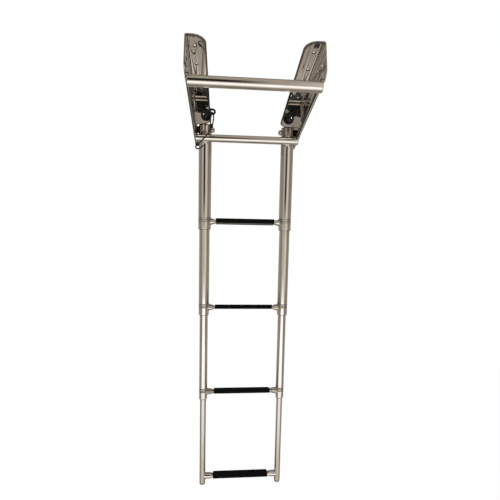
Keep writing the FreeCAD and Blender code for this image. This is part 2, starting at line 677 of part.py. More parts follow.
def tread(n):
    """Make a level tread: a ribbed cap that is snapped over the flat part of its rung."""
    body = doc.addObject("PartDesign::Body", f"tread_{n}")
    profile = sketch(body, "YZ_Plane", across="0 - tread_depth / 2", up="0 - tread_drop")
    outline(profile, [("0", "0"), ("tread_depth", "0"), ("tread_depth", "tread_height"),
                      ("0", "tread_height")])
    pad(body, profile, TREAD_LENGTH, both_ways=True)
    round_edges(body, "tread_corner", lambda middle, run: (
        runs_along(run, "X") and abs(middle.y) > 1))
    slot = sketch(body, "YZ_Plane", across="0 - tread_slot / 2", up="0 - tread_drop * 2")
    pocket(body, outline(slot, [("0", "0"), ("tread_slot", "0"), ("tread_slot", "tread_drop * 2"),
                                ("0", "tread_drop * 2")]))
    pocket(body, obround(sketch(body, "YZ_Plane"), "rung_flat", "rung_height + tread_play"))
    drawn = sketch(body, "YZ_Plane", up="tread_height - tread_drop - rib_depth",
                   across=f"0 - rib_pitch * {(GROOVES_PER_TREAD - 1) / 2} - rib_groove / 2")
    outline(drawn, [("0", "0"), ("rib_groove", "0"), ("rib_groove", "rib_depth * 2"),
                    ("0", "rib_depth * 2")])
    groove = pocket(body, drawn)
    grooves = body.newObject("PartDesign::LinearPattern", "grooves")
    grooves.Originals = [groove]
    y_axis = next(item for item in body.Origin.OriginFeatures if item.Role == "Y_Axis")
    grooves.Direction = (y_axis, [""])
    grooves.Occurrences = GROOVES_PER_TREAD
    bind(grooves, Length=f"rib_pitch * {GROOVES_PER_TREAD - 1}")
    body.Tip = grooves
    doc.recompute()
    node(f"tread_{n}", hang(body, "0", RUNG_DOWN[n], tilt="0"))


# Lanyard
def from_hole(thing, spot):
    """Place an object of the lanyard, from the fourth screw hole at the web's underside."""
    across, along, up = spot
    return place(thing, str(across), f"screw_pitch / 2 + ({along})", f"0 - track_sheet + ({up})")


def cord(name, route):
    """Sweep a round cord along straight runs that are joined by arcs as large as they allow."""
    spots = [Vector(*spot) for spot in route]
    edges, start = [], spots[0]
    for before, corner, after in zip(spots, spots[1:], spots[2:]):
        back, ahead = before - corner, after - corner
        turn = math.pi - back.getAngle(ahead)
        reach = 0.45 * min(back.Length, ahead.Length)
        radius = reach / math.tan(turn / 2)
        print(f"{name}: an arc of {radius:.1f} mm turns {math.degrees(turn):.0f} degrees")
        back.normalize()
        ahead.normalize()
        inward = (back + ahead).normalize()
        first, last = corner + back * reach, corner + ahead * reach
        middle = corner + inward * (radius / math.cos(turn / 2) - radius)
        edges += [Part.LineSegment(start, first).toShape(), Part.Arc(first, middle, last).toShape()]
        start = last
    edges.append(Part.LineSegment(start, spots[-1]).toShape())
    path = doc.addObject("Part::Feature", f"{name}_path")
    path.Shape = Part.Wire(edges)
    from_hole(path, (0, 0, 0))
    section = bind(doc.addObject("Part::Circle", f"{name}_section"), Radius="cord_radius")
    section.Placement = Placement(Vector(), Rotation(Vector(0, 0, 1), spots[1] - spots[0]))
    from_hole(section, route[0])
    swept = doc.addObject("Part::Sweep", name)
    swept.Sections = [section]
    swept.Spine = (path, [f"Edge{number}" for number in range(1, len(edges) + 1)])
    swept.Solid = True
    doc.recompute()
    ratio = swept.Shape.Volume / (path.Shape.Length * math.pi * amount("cord_radius") ** 2)
    print(f"{name}: {path.Shape.Length:.1f} mm long, volume over section times length {ratio:.3f}")
    return node(name, swept)


def lanyard():
    """Make the lanyard: its cord, the ring, the tail that is looped through it and its crimps."""
    upper = cord("lanyard_cord", CORD_ROUTE)
    lower = cord("lanyard_tail", TAIL_ROUTE)
    ring = bind(doc.addObject("Part::Torus", "ring"), Radius1="ring_radius", Radius2="ring_bar")
    ring.Placement = Placement(Vector(), Rotation(Vector(1, 0, 0), 90))
    node("lanyard_ring", cut("lanyard_ring", from_hole(ring, RING_PLACE), upper))

    eye = from_hole(cylinder("eye", "eye_radius", "eye_height"), (0, 0, 0))
    bore = from_hole(cylinder("eye_bore", "screw_hole + lock_play", "2 * eye_height"), (0, 0, 0))
    place(eye, "0", "screw_pitch / 2", "0 - track_sheet - eye_height")
    place(bore, "0", "screw_pitch / 2", "0 - track_sheet - 1.5 * eye_height")
    knot = cylinder("knot", "knot_radius", "knot_length")
    from_hole(knot, KNOT_PLACE)
    crimp = cylinder("crimp", "crimp_radius", "crimp_length")
    crimp.Placement = Placement(Vector(), Rotation(Vector(0, 0, 1), Vector(*CRIMP_AIM)))
    from_hole(crimp, CRIMP_PLACE)
    crimps = doc.addObject("Part::Compound", "lanyard_crimps")
    crimps.Links = [cut("eye_ring", cut("eye_washer", eye, bore), upper),
                    cut("knot_sleeve", knot, lower), cut("crimp_sleeve", crimp, lower)]
    node("lanyard_crimps", crimps)


track()
pair("bar_plugs", crossbar("inboard", "inboard_bar", INBOARD_BAR_ALONG),
     crossbar("outboard", "outboard_bar", OUTBOARD_BAR_ALONG))
carriage()
slide_pads()
pivot()
lock()
for number in STAGES:
    tube(number)
    rung(number)
    tread(number)
for number in STAGES[:-1]:
    bushings(number)
    guides(number + 1)
top_caps()
feet()
lanyard()
doc.recompute()

failed = [item.Label for item in doc.Objects if {"Invalid", "Error"} & set(item.State)]
if failed:
    raise RuntimeError(f"these objects failed: {failed}")
os.makedirs("parts", exist_ok=True)
for name, piece in nodes.items():
    shape = piece.Shape
    if shape.isNull() or not shape.isValid() or not shape.Solids:
        raise RuntimeError(f"{name} has no valid solid")
    shape.exportStep(f"parts/{name}.step")
    print(f"{name}: {len(shape.Solids)} solids, {shape.Volume / 1000:.1f} cm3")
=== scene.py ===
"""Looks of a telescopic boarding ladder that hangs from two under-platform tracks.

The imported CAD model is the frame. This script gives every node a procedural finish, adds the weld
beads, the pressed rungs' smooth shape, the ball knobs' moulded detail and the lanyard's cords, and
sets up the studio and the photograph's viewpoint.
"""

import json
import logging
import math
from dataclasses import dataclass
from enum import Enum
from typing import Callable, Iterable, Sequence, Union

import bpy
import numpy as np
from mathutils import Matrix, Vector


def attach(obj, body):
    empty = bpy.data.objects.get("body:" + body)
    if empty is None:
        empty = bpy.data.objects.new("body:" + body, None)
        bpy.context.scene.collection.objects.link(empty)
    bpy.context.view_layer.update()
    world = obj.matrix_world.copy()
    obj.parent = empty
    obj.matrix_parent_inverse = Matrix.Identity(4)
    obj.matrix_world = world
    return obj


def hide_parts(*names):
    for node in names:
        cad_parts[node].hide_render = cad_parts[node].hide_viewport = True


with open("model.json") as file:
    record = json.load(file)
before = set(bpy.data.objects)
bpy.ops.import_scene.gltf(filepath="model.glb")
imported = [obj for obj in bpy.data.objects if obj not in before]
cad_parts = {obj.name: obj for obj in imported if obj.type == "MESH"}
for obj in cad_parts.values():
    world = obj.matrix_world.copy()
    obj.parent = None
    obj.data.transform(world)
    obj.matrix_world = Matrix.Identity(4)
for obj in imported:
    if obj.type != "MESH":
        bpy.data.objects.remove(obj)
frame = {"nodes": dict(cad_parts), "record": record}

LOG = logging.getLogger("boarding_ladder")

# Sizes that the added pieces share with the CAD model, in metres in the row frame.
CENTRE_X = 0.1385
PIVOT = (0.1306, -0.0615)
LEAN = math.radians(15.5)
RAIL_HALF_SPACING = 0.125
RAIL_RADII = (0.01905, 0.015875, 0.0127, 0.009525)
RUNG_DOWN = (0.2751, 0.5456, 0.8249, 1.1184)
RUNG_TO_END = 0.024  # from a rung's centre to the lower end of its tubes
TROUGH_X = CENTRE_X - 0.1518  # the middle of a lip's trough, on the left
LIP_EDGE = 0.1585 - 0.0106  # from the middle plane to a lip's inner edge
TREAD_HALF_LENGTH = 0.090
UNDERSIDE = -0.0865
HOLE = (0.0, 0.032, -0.003)
SCREW_PITCH = 0.064
WEB_EDGE, WEB_CORNER, WEB_ENDS = 0.027, 0.030, (-0.1965, 0.2095)

# Marks on the steel: pairs of a place in metres and how strong the mark is there.
COVES = ((-0.1555, 1.0), (-0.1325, 0.0), (0.126, 0.0), (0.1555, 2.0))
# Painted reflections: dark streaks along the lips' undersides, by distance from the lip's edge.
LIP_REFLECTION_STREAKS = (
    (0.0, 0.2), (0.0006, 0.95), (0.0036, 0.95), (0.0046, 0.0), (0.0068, 0.0), (0.0078, 0.95),
    (0.0120, 0.95),
)
# Painted reflections: brown bands at set heights on the tracks' walls.
WALL_REFLECTION_BANDS = (
    (-0.076, 0.0), (-0.070, 0.5), (-0.062, 0.9), (-0.050, 0.85), (-0.042, 0.35), (-0.034, 0.2),
    (-0.029, 0.6), (-0.020, 0.55), (-0.014, 0.15), (-0.009, 0.55), (-0.004, 0.3),
)
# The grooves' depths, which also set the painted shade in them.
TUBE_GROOVES = (
    (-0.0002, 0.0), (0.0, -1.0), (0.0026, 0.0), (0.0236, 0.0), (0.0256, -1.0), (0.0276, 0.0),
    (0.0284, 0.0), (0.0304, -1.0), (0.0324, 0.0), (0.0334, 0.0), (0.0354, -1.0), (0.0374, 0.0),
)
# The seam's depth above the feet, which also sets a painted reflection there.
FOOT_SEAM = ((-0.0030, 0.0), (-0.0012, 0.8), (0.0004, 0.0), (0.0014, 0.1), (0.0026, 1.1))
# A dark band along the web's cut outline.
EDGE_BAND = ((0.0003, 0.0), (0.0008, 0.95), (0.0035, 0.8), (0.0062, 0.0))
# The heights in a lip's trough that get painted shade at its open end.
TROUGH_HEIGHT = ((-0.0850, 0.0), (-0.0846, 0.8), (-0.0720, 0.8), (-0.0700, 0.0))

# The marks' colours.
HEAT_TINT = (0.30, 0.20, 0.13)
# Painted shade in the screw holes and the lips' open troughs, also the colour of the dark band
# along the web's cut outline.
SHADE_AND_EDGE_BAND_DARK = (0.07, 0.05, 0.036)
# Colour of the painted reflections under the lips.
LIP_REFLECTION_DARK = (0.05, 0.038, 0.03)
# Colour of the painted reflections on the walls.
WALL_REFLECTION_BROWN = (0.12, 0.09, 0.07)
CUT_GREY = (0.36, 0.33, 0.30)
# Painted shade on the rungs' undersides beneath the treads.
TREAD_SHADE_DARK = (0.05, 0.045, 0.04)
# Colour of the painted shade in the grooves and the painted reflection in the foot seam.
GROOVE_SHADE = (0.10, 0.075, 0.05)

Value = Union["Socket", float, int]
Colour = tuple[float, float, float]
Formula = Callable[[np.ndarray, np.ndarray], np.ndarray]


class Slot(str, Enum):
    """The record's material slots."""

    SHEET = "polished_sheet"
    TUBE = "polished_tube"
    HARDWARE = "hardware_steel"
    TREAD = "tread_rubber"
    KNOB = "knob_black"
    NYLON = "nylon_black"
    LANYARD = "lanyard_black"


@dataclass(frozen=True)
class Socket:
    """An output of a shader node on its sheet, which can be used in sums and products."""

    sheet: "ShaderSheet"
    out: Union[bpy.types.NodeSocket, None]

    def _math(self, operation: str, first: Value, second: Value = 0.0) -> "Socket":
        """Add a math node and return its result."""
        return self.sheet.node("ShaderNodeMath", {0: first, 1: second}, operation=operation)

    def __add__(self, other: Value) -> "Socket":
        """Return self + other."""
        return self._math("ADD", self, other)

    def __radd__(self, other: Value) -> "Socket":
        """Return other + self."""
        return self._math("ADD", other, self)

    def __sub__(self, other: Value) -> "Socket":
        """Return self - other."""
        return self._math("SUBTRACT", self, other)

    def __rsub__(self, other: Value) -> "Socket":
        """Return other - self."""
        return self._math("SUBTRACT", other, self)

    def __mul__(self, other: Value) -> "Socket":
        """Return self * other."""
        return self._math("MULTIPLY", self, other)

    def __rmul__(self, other: Value) -> "Socket":
        """Return other * self."""
        return self._math("MULTIPLY", other, self)

    def __truediv__(self, other: Value) -> "Socket":
        """Return self / other."""
        return self._math("DIVIDE", self, other)

    def __rtruediv__(self, other: Value) -> "Socket":
        """Return other / self."""
        return self._math("DIVIDE", other, self)

    def __pow__(self, other: Value) -> "Socket":
        """Return self ** other."""
        return self._math("POWER", self, other)

    def __rpow__(self, other: Value) -> "Socket":
        """Return other ** self."""
        return self._math("POWER", other, self)

    def __neg__(self) -> "Socket":
        """Return -self."""
        return self._math("MULTIPLY", self, -1.0)

    def __abs__(self) -> "Socket":
        """Return the value without its sign."""
        return self._math("ABSOLUTE", self)

    def sine(self) -> "Socket":
        """Return the sine of the value."""
        return self._math("SINE", self)

    def fraction(self) -> "Socket":
        """Return the part after the whole number."""
        return self._math("FRACT", self)

    def larger(self, other: Value) -> "Socket":
        """Return the larger of two values."""
        return self._math("MAXIMUM", self, other)

    def heading(self, other: Value) -> "Socket":
        """Return the angle in degrees whose sine goes with this value and cosine with the other."""
        return self._math("ARCTAN2", self, other) * math.degrees(1.0)

    def profile(self, *stops: tuple[float, float]) -> "Socket":
        """Map a value smoothly through several stops.

        Args:
            *stops: Pairs of a value and its result, in rising order.

        Returns:
            The mapped value.
        """
        total = stops[0][1]
        for (low, before), (high, after) in zip(stops, stops[1:]):
            total = total + self.ramp(low, high) * (after - before)
        return total

    def ramp(self, low: float, high: float, bottom: Value = 0.0, top: Value = 1.0) -> "Socket":
        """Map a stretch of values smoothly to another.

        Args:
            low: The value that gives bottom.
            high: The value that gives top.
            bottom: The result at and below low.
            top: The result at and above high.

        Returns:
            The mapped value.
        """
        return self.sheet.node(
            "ShaderNodeMapRange",
            {"Value": self, "From Min": low, "From Max": high, "To Min": bottom, "To Max": top},
            interpolation_type="SMOOTHSTEP",
        )


class ShaderSheet:
    """A material's or the world's node tree, with short ways to add nodes."""

    def __init__(self, owner: Union[bpy.types.Material, bpy.types.World]) -> None:
        """Clear the owner's tree and start from nothing.

        Args:
            owner: The material or world.
        """
        owner.use_nodes = True
        self.tree = owner.node_tree
        self.tree.nodes.clear()

    def node(
        self, kind: str, inputs: dict[Union[int, str], object], output: Union[int, str] = 0,
        **settings: object,
    ) -> Socket:
        """Add a node: every node of this script is made here.

        Args:
            kind: The node's type name.
            inputs: Values or sockets by input name or number.
            output: Which output to hand back.
            **settings: The node's own properties.

        Returns:
            The chosen output.
        """
        made = self.tree.nodes.new(kind)
        for name, setting in settings.items():
            setattr(made, name, setting)
        for key, value in inputs.items():
            target = made.inputs[key]
            if isinstance(value, Socket):
                self.tree.links.new(value.out, target)
            elif target.type == "RGBA" and len(value) == 3:
                target.default_value = (*value, 1.0)
            else:
                target.default_value = value
        return Socket(self, made.outputs[output] if made.outputs else None)

    def place(self) -> Socket:
        """Return the place in the row frame, which moves with the piece."""
        return self.node("ShaderNodeTexCoord", {}, output="Object")

    def facing(self) -> Socket:
        """Return the direction in which the surface faces, which moves with the piece."""
        return self.node("ShaderNodeTexCoord", {}, output="Normal")

    def seen(self) -> Socket:
        """Find the rays by which the view sees a surface: straight, mirrored or let through.

        Returns:
            1 for such a ray, 0 for the others.
        """
        outputs = self.node("ShaderNodeLightPath", {}).out.node.outputs
        straight, mirrored, through = (
            Socket(self, outputs[f"Is {kind} Ray"]) for kind in ("Camera", "Glossy", "Transmission")
        )
        return straight.larger(mirrored).larger(through)

    def axes(self, vector: Socket) -> tuple[Socket, Socket, Socket]:
        """Split a vector.

        Args:
            vector: The vector's socket.

        Returns:
            Its three parts.
        """
        split = self.node("ShaderNodeSeparateXYZ", {0: vector})
        outputs = split.out.node.outputs
        return tuple(Socket(self, outputs[n]) for n in range(3))

    def stretched(self, vector: Socket, scale: Sequence[float], turn_x: float = 0.0) -> Socket:
        """Scale a vector after turning it about X.

        Args:
            vector: The vector's socket.
            scale: The three scales.
            turn_x: The turn in radians.

        Returns:
            The mapped vector.
        """
        turned = self.node("ShaderNodeMapping", {"Vector": vector, "Rotation": (turn_x, 0.0, 0.0)})
        return self.node("ShaderNodeMapping", {"Vector": turned, "Scale": tuple(scale)})

    def noise(
        self, vector: Socket, scale: float, detail: float = 3.0, rough: float = 0.5
    ) -> Socket:
        """Return a noise value.

        Args:
            vector: Where to sample it.
            scale: The noise's scale.
            detail: How many finer layers it has.
            rough: How strong the finer layers are.

        Returns:
            The noise, about 0 to 1.
        """
        return self.node(
            "ShaderNodeTexNoise",
            {"Vector": vector, "Scale": scale, "Detail": detail, "Roughness": rough},
        )

    def mix(
        self, share: Value, first: Union[Socket, Colour], second: Union[Socket, Colour]
    ) -> Socket:
        """Mix two colours.

        Args:
            share: How much of the second colour.
            first: The first colour.
            second: The second colour.

        Returns:
            The mixed colour.
        """
        return self.node(
            "ShaderNodeMix", {0: share, 6: first, 7: second}, output=2, data_type="RGBA"
        )

    def bump(self, height: Socket, strength: float, distance: float) -> Socket:
        """Return a normal from a height.

        Args:
            height: The height value.
            strength: The bump's strength.
            distance: The bump's depth in metres.

        Returns:
            The normal.
        """
        return self.node(
            "ShaderNodeBump", {"Height": height, "Strength": strength, "Distance": distance}
        )

    def finish(self, shader: Socket, world: bool = False) -> None:
        """Send a shader to the output.

        Args:
            shader: The shader's socket.
            world: Whether the tree is a world's.
        """
        kind = "ShaderNodeOutputWorld" if world else "ShaderNodeOutputMaterial"
        self.node(kind, {"Surface": shader})


@dataclass(frozen=True)
class Finish:
    """A surface finish that makes its own material."""

    name: str
    colour: Colour
    roughness: float

    def shade(self, sheet: ShaderSheet) -> Socket:
        """Make the finish's shader; the kinds of finish say how.

        Args:
            sheet: The material's sheet.

        Returns:
            The shader.
        """
        raise NotImplementedError

    def toned(self, *shares: float) -> Colour:
        """Return the finish's colour with its parts multiplied by one share or by three."""
        return tuple(part * share for part, share in zip(self.colour, shares * (3 // len(shares))))

    def principled(self, sheet: ShaderSheet, **inputs: object) -> Socket:
        """Add the main shader.

        Args:
            sheet: The material's sheet.
            **inputs: Inputs by name, with underscores for blanks.

        Returns:
            The shader.
        """
        named = {key.replace("_", " "): value for key, value in inputs.items()}
        return sheet.node("ShaderNodeBsdfPrincipled", named)

    def material(self) -> bpy.types.Material:
        """Make the material.

        Returns:
            The new material.
        """
        made = bpy.data.materials.new(self.name)
        sheet = ShaderSheet(made)
        sheet.finish(self.shade(sheet))
        return made


@dataclass
class SteelLook:
    """The values of a steel shader while they are put together."""

    shade: Socket
    rough: Socket
    metal: Value
    height: Socket
    depth: float


@dataclass(frozen=True)
class PolishedSteel(Finish):
    """Polished stainless steel with faint polishing lines along one direction."""

    lines: tuple[float, float, float] = (260.0, 260.0, 9.0)
    wear: float = 0.03
    haze: float = 0.05
    tint: float = 0.0
    lean: float = 0.0
    metallic: float = 1.0
    web: bool = False
    rolled: bool = False

    def shade(self, sheet: ShaderSheet) -> Socket:
        """Make the shader.

        Args:
            sheet: The material's sheet.

        Returns:
            The shader.
        """
        where = sheet.place()
        along = sheet.stretched(where, self.lines, turn_x=self.lean)
        strokes = sheet.noise(along, 6.0, detail=4.0, rough=0.6)
        cloud = sheet.noise(where, 21.0, detail=2.0)
        rough = self.roughness + self.wear * strokes + self.haze * cloud.ramp(0.5, 0.75)
        shade = sheet.mix(cloud.ramp(0.35, 0.7), self.colour, self.toned(0.96, 0.95, 0.93))
        if self.tint:
            spots = sheet.noise(where, 420.0, detail=2.0)
            shade = sheet.mix(spots.ramp(0.4, 0.7) * self.tint, shade, HEAT_TINT)
        look = SteelLook(shade, rough, self.metallic, strokes * 0.03, 0.0002)
        if self.web:
            self.mark_track(sheet, where, look)
        if self.rolled:
            self.mark_tube(sheet, where, look)
        return self.principled(
            sheet, Base_Color=look.shade, Metallic=look.metal, Roughness=look.rough,
            Normal=sheet.bump(look.height, 1.0, look.depth),
        )

    def mark_track(self, sheet: ShaderSheet, where: Socket, look: SteelLook) -> None:
        """Mark a track: wavy walls with brown painted reflections, coved corners, cut ends, painted
        reflections streaked under the lips, painted shade in holes and troughs.

        Args:
            sheet: The material's sheet.
            where: The place.
            look: The shader's values, which are changed.
        """
        across, _, up = sheet.axes(where)
        upright = abs(across - CENTRE_X).ramp(0.151, 0.153)
        wave = (up * 330.0).sine() + (up * 571.0).sine() * 0.5
        look.height = wave * upright * 0.009 + (across - CENTRE_X).profile(*COVES)
        look.depth = 0.0028
        faces = sheet.axes(sheet.facing())
        cut = abs(faces[1]).ramp(0.2, 0.35)
        low = 1.0 - up.ramp(-0.0760, -0.0720)
        look.metal = self.metallic - 0.8 * low * faces[2].ramp(0.1, 0.4)
        # Painted reflections: dark streaks under the lips, and all of the left track's low faces
        # darker.
        lip_reflection = (abs(across - CENTRE_X) - LIP_EDGE).profile(*LIP_REFLECTION_STREAKS)
        lip_reflection = lip_reflection.larger(0.72 * (1.0 - across.ramp(0.10, 0.15)))
        # Painted shade in the screw holes and troughs, with the dark band along the cut outline.
        shade_and_edge_band = self.web_shade_and_edge_band(sheet, where)
        for share, colour in (
            (shade_and_edge_band, SHADE_AND_EDGE_BAND_DARK), (lip_reflection * low, LIP_REFLECTION_DARK),
            # Painted reflections: the brown bands on the walls.
            (up.profile(*WALL_REFLECTION_BANDS) * upright, WALL_REFLECTION_BROWN), (cut, CUT_GREY),
        ):
            look.shade = sheet.mix(share, look.shade, colour)
        look.rough = look.rough + 0.3 * shade_and_edge_band + 0.3 * cut

    def mark_tube(self, sheet: ShaderSheet, where: Socket, look: SteelLook) -> None:
        """Mark the tubes: rolled grooves at their ends with painted shade in them, and painted
        shade on the rungs' undersides beneath the treads.

        Args:
            sheet: The material's sheet.
            where: The place.
            look: The shader's values, which are changed.
        """
        across, _, up = sheet.axes(where)
        rungs = 1.0 - up.ramp(-0.25, -0.20)
        under_tread = 1.0 - abs(across - CENTRE_X).ramp(0.0885, 0.0905)
        # Painted shade on the rungs' downward faces beneath the treads.
        tread_shade = rungs * under_tread * (-1.0 * sheet.axes(sheet.facing())[2]).ramp(0.3, 0.6)
        groove = self.rolled_grooves(sheet, where)
        look.shade = sheet.mix(tread_shade * 0.85, look.shade, TREAD_SHADE_DARK)
        # Painted shade in the grooves and a painted reflection in the foot seam, darker as they
        # deepen.
        look.shade = sheet.mix(-0.8 * groove, look.shade, GROOVE_SHADE)
        look.height = look.height + groove
        look.depth = 0.0008

    def rolled_grooves(self, sheet: ShaderSheet, where: Socket) -> Socket:
        """Roll grooves and a lip into each outer tube's lower end, and a seam above the feet.

        Args:
            sheet: The material's sheet.
            where: The place.

        Returns:
            The height, 0 on the plain tube and down to -1 in a groove.
        """
        _, along, up = sheet.axes(where)
        down = (along - PIVOT[0]) * math.sin(LEAN) - (up - PIVOT[1]) * math.cos(LEAN)
        total = 0.0
        for rung in RUNG_DOWN[:3]:
            total = (rung + RUNG_TO_END - down).profile(*TUBE_GROOVES) + total
        return total - (down - RUNG_DOWN[3] - RUNG_TO_END).profile(*FOOT_SEAM)

    def web_shade_and_edge_band(self, sheet: ShaderSheet, where: Socket) -> Socket:
        """Find the painted shade in the screw holes' walls and the lips' open ends, and a dark band
        along the web's cut outline.

        Args:
            sheet: The material's sheet.
            where: The place.

        Returns:
            How much painted shade and edge band there is.
        """
        across, along, up = sheet.axes(where)
        side = CENTRE_X - abs(across - CENTRE_X)
        past = (along / SCREW_PITCH).fraction() - 0.5
        # Painted shade on the screw holes' walls.
        hole = 1.0 - ((side ** 2 + (past * SCREW_PITCH) ** 2) ** 0.5).ramp(0.0040, 0.0052)
        middle, half = (WEB_ENDS[0] + WEB_ENDS[1]) / 2.0, (WEB_ENDS[1] - WEB_ENDS[0]) / 2.0
        corner_x = (side - (WEB_EDGE - WEB_CORNER)).larger(0.0)
        corner_y = (abs(along - middle) - (half - WEB_CORNER)).larger(0.0)
        inside = WEB_CORNER - (corner_x ** 2 + corner_y ** 2) ** 0.5
        # Painted shade in the lips' troughs at the inboard end.
        at_end = (-0.188 - along).ramp(-0.004, 0.0)
        in_trough = 1.0 - abs(side - TROUGH_X).ramp(0.0034, 0.0040)
        trough = at_end * in_trough * up.profile(*TROUGH_HEIGHT)
        return (hole.larger(inside.profile(*EDGE_BAND)) * up.ramp(-0.0045, -0.0035)).larger(trough)


@dataclass(frozen=True)
class RibbedMoulding(Finish):
    """Matt black moulding with a fine grain and darker ends."""

    def shade(self, sheet: ShaderSheet) -> Socket:
        """Make the shader.

        Args:
            sheet: The material's sheet.

        Returns:
            The shader.
        """
        where = sheet.place()
        across = sheet.axes(where)[0]
        from_end = TREAD_HALF_LENGTH - abs(across - CENTRE_X)
        band = 1.0 - from_end.ramp(0.0044, 0.0050)
        groove = 1.0 - abs(from_end - 0.0050).ramp(0.0, 0.0006)
        grain = sheet.noise(where, 900.0, detail=2.0)
        dust = sheet.noise(where, 34.0, detail=4.0, rough=0.6)
        shade = sheet.mix(dust.ramp(0.45, 0.8), self.colour, self.toned(1.6))
        shade = sheet.mix(band, shade, self.toned(0.35))
        height = grain * 0.35 - groove
        return self.principled(
            sheet, Base_Color=shade, Roughness=self.roughness + 0.12 * grain + 0.1 * dust,
            Specular_IOR_Level=0.08, Normal=sheet.bump(height, 0.35, 0.0003),
        )


@dataclass(frozen=True)
class GlossMoulding(Finish):
    """Black moulded plastic with a clear gloss."""

    coat: float = 1.0
    grain_scale: float = 160.0

    def shade(self, sheet: ShaderSheet) -> Socket:
        """Make the shader.

        Args:
            sheet: The material's sheet.

        Returns:
            The shader.
        """
        where = sheet.place()
        smear = sheet.noise(where, 60.0, detail=3.0)
        grain = sheet.noise(where, self.grain_scale, detail=2.0)
        shade = sheet.mix(smear.ramp(0.4, 0.8), self.colour, self.toned(1.5))
        return self.principled(
            sheet, Base_Color=shade, Roughness=self.roughness + 0.05 * smear,
            Coat_Weight=self.coat, Coat_Roughness=0.04, Specular_IOR_Level=0.16,
            Normal=sheet.bump(grain, 0.03, 0.0002),
        )


@dataclass(frozen=True)
class BraidedCord(Finish):
    """Thin black braided cord, whose strands cross as the product of two sines."""

    strand: float = 0.0016

    def shade(self, sheet: ShaderSheet) -> Socket:
        """Make the shader.

        Args:
            sheet: The material's sheet.

        Returns:
            The shader.
        """
        where = sheet.place()
        across, along, up = sheet.axes(where)
        pitch = 2.0 * math.pi / self.strand
        weave = ((up + across) * pitch).sine() * ((up - across + along) * pitch).sine()
        fuzz = sheet.noise(where, 1500.0, detail=1.0)
        # Painted shade and highlight: darker in the gaps between the strands, lighter on their
        # crowns.
        shade = sheet.mix(weave.ramp(-1.0, 1.0), self.toned(0.5), self.toned(1.8))
        return self.principled(
            sheet, Base_Color=shade, Roughness=self.roughness, Sheen_Weight=0.2,
            Normal=sheet.bump(weave + fuzz * 0.5, 0.6, 0.0003),
        )


FINISHES: dict[Slot, Finish] = {
    Slot.SHEET: PolishedSteel(
        "polished sheet steel", (0.80, 0.755, 0.70), 0.02, lines=(240.0, 9.0, 240.0),
        wear=0.012, haze=0.02, metallic=0.93, web=True,
    ),
    Slot.TUBE: PolishedSteel(
        "polished steel tube", (0.82, 0.78, 0.73), 0.07, lean=LEAN, rolled=True
    ),
    Slot.HARDWARE: PolishedSteel(
        "bright turned steel", (0.80, 0.77, 0.73), 0.13, lines=(30.0, 30.0, 600.0)
    ),
    Slot.TREAD: RibbedMoulding("ribbed black moulding", (0.003, 0.003, 0.0033), 0.66),
    Slot.KNOB: GlossMoulding("gloss black moulding", (0.0015, 0.0015, 0.0015), 0.12, coat=0.0),
    Slot.NYLON: GlossMoulding("satin black nylon", (0.006, 0.006, 0.006), 0.45, coat=0.0),
    Slot.LANYARD: BraidedCord("black braided cord", (0.004, 0.004, 0.004), 0.7),
}
CARRIAGE_FINISH = PolishedSteel(
    "polished carriage steel", (0.80, 0.76, 0.71), 0.08, lines=(240.0, 9.0, 240.0)
)
WELD_FINISH = PolishedSteel(
    "weld bead", (0.72, 0.68, 0.62), 0.20, lines=(300.0, 300.0, 300.0), wear=0.12, tint=0.55
)
RIBBED_CAPS = GlossMoulding("moulded crimps", (0.005, 0.005, 0.005), 0.34, coat=0.1)


def mesh_object(
    name: str, vertices: np.ndarray, faces: Iterable[Sequence[int]]
) -> bpy.types.Object:
    """Make a mesh object with smooth shading.

    Args:
        name: The piece's name.
        vertices: The points, one to a row.
        faces: The corners of each face.

    Returns:
        The new object, linked to the scene.
    """
    mesh = bpy.data.meshes.new(name)
    mesh.from_pydata([tuple(map(float, row)) for row in vertices], [], [tuple(f) for f in faces])
    mesh.update()
    mesh.polygons.foreach_set("use_smooth", [True] * len(mesh.polygons))
    made = bpy.data.objects.new(name, mesh)
    bpy.context.scene.collection.objects.link(made)
    return made


@dataclass
class Patch:
    """A grid of points on a parametric surface."""

    points: np.ndarray
    loops_u: bool = False
    loops_v: bool = False

    @classmethod
    def from_formula(
        cls, formula: Formula, u: np.ndarray, v: np.ndarray,
        loops_u: bool = False, loops_v: bool = False,
    ) -> "Patch":
        """Sample a surface.

        Args:
            formula: Gives points from two grids of parameters.
            u: The first parameter's values.
            v: The second parameter's values.
            loops_u: Whether the surface closes on itself along u.
            loops_v: Whether the surface closes on itself along v.

        Returns:
            The patch.
        """
        grid_u, grid_v = np.meshgrid(u, v, indexing="ij")
        return cls(formula(grid_u, grid_v), loops_u, loops_v)

    def faces(self, start: int = 0) -> list[tuple[int, int, int, int]]:
        """List the patch's faces.

        Args:
            start: The number of its first point.

        Returns:
            Four corners for each face.
        """
        rows, columns = self.points.shape[:2]
        made = []
        for i in range(rows if self.loops_u else rows - 1):
            for j in range(columns if self.loops_v else columns - 1):
                k, m = (i + 1) % rows, (j + 1) % columns
                made.append(tuple(
                    start + a * columns + b for a, b in ((i, j), (k, j), (k, m), (i, m))
                ))
        return made


def patches_object(name: str, patches: Sequence[Patch]) -> bpy.types.Object:
    """Make one object of several patches.

    Args:
        name: The piece's name.
        patches: The surfaces.

    Returns:
        The new object.
    """
    points, faces, count = [], [], 0
    for patch in patches:
        faces += patch.faces(count)
        flat = patch.points.reshape(-1, 3)
        points.append(flat)
        count += len(flat)
    return mesh_object(name, np.vstack(points), faces)


def full_turn(count: int) -> np.ndarray:
    """Return evenly spaced angles round a circle."""
    return np.linspace(0.0, 2.0 * math.pi, count + 1)[:-1]


